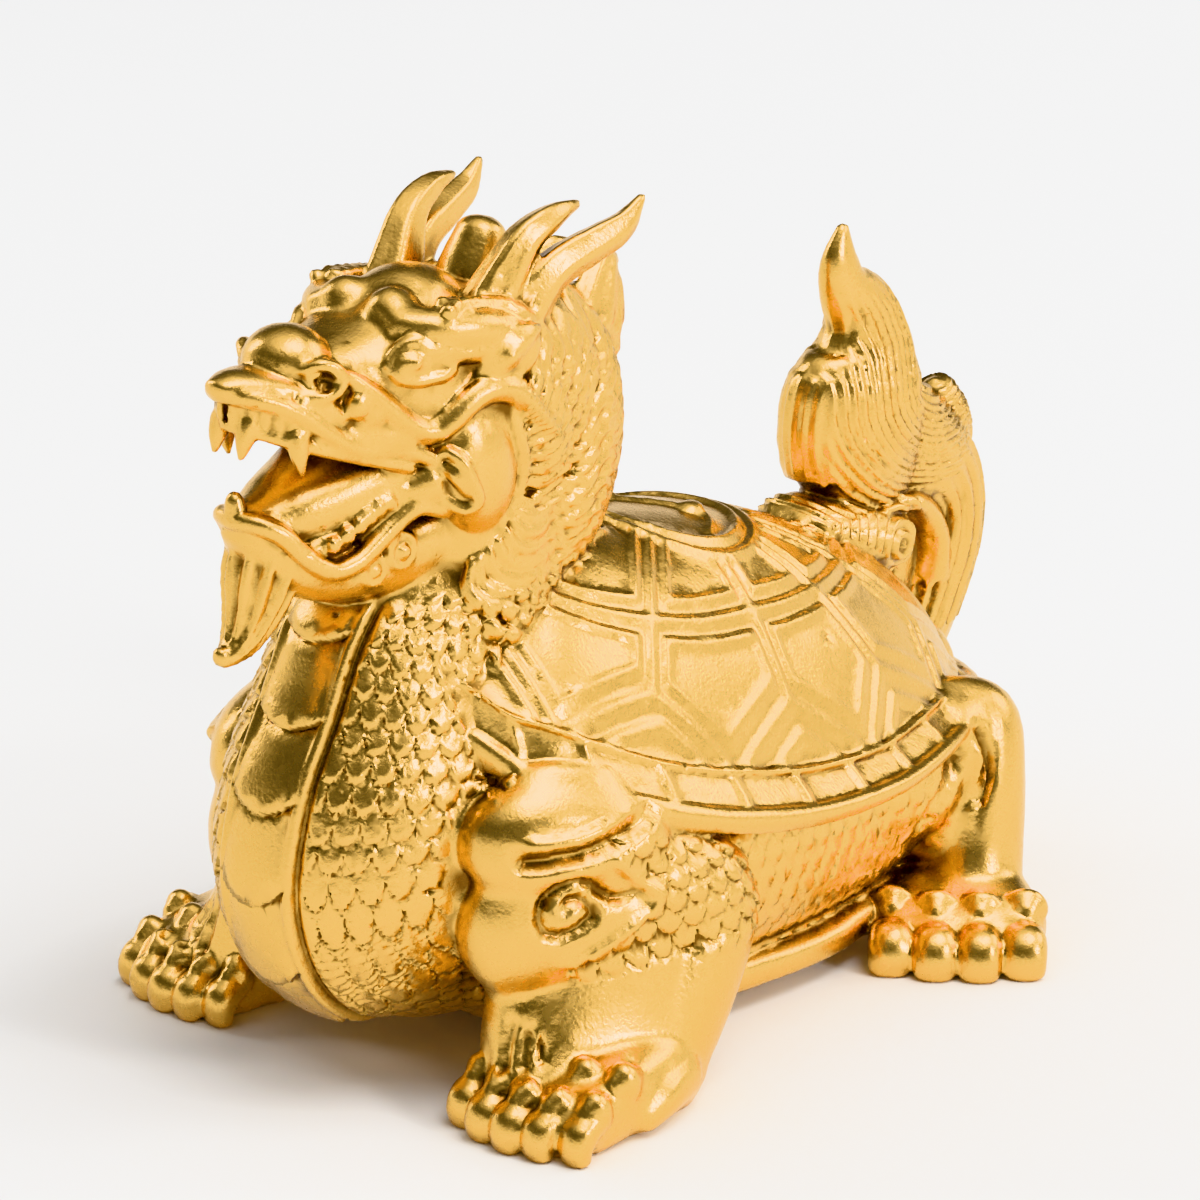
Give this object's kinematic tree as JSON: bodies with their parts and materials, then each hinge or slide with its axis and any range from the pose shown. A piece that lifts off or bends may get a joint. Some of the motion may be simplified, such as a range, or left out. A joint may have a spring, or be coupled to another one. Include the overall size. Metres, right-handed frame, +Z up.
{
  "type": "dragon turtle figure",
  "caption": "Standing dragon turtle figure with a horned dragon head, scaled neck, plated shell and upright flame tail, cast in gilt metal.",
  "frame": {"origin": "on the ground under the middle of the figure's bounding box", "axes": "+Z up, the head faces -Y, the figure's left side is +X"},
  "size_m": [0.0878, 0.1308, 0.0979],
  "materials": {
    "gilt_brass": "polished gilt, darker in the recesses"
  },
  "bodies": {
    "root": {"dragon_turtle": "gilt_brass"}
  },
  "joints": []
}
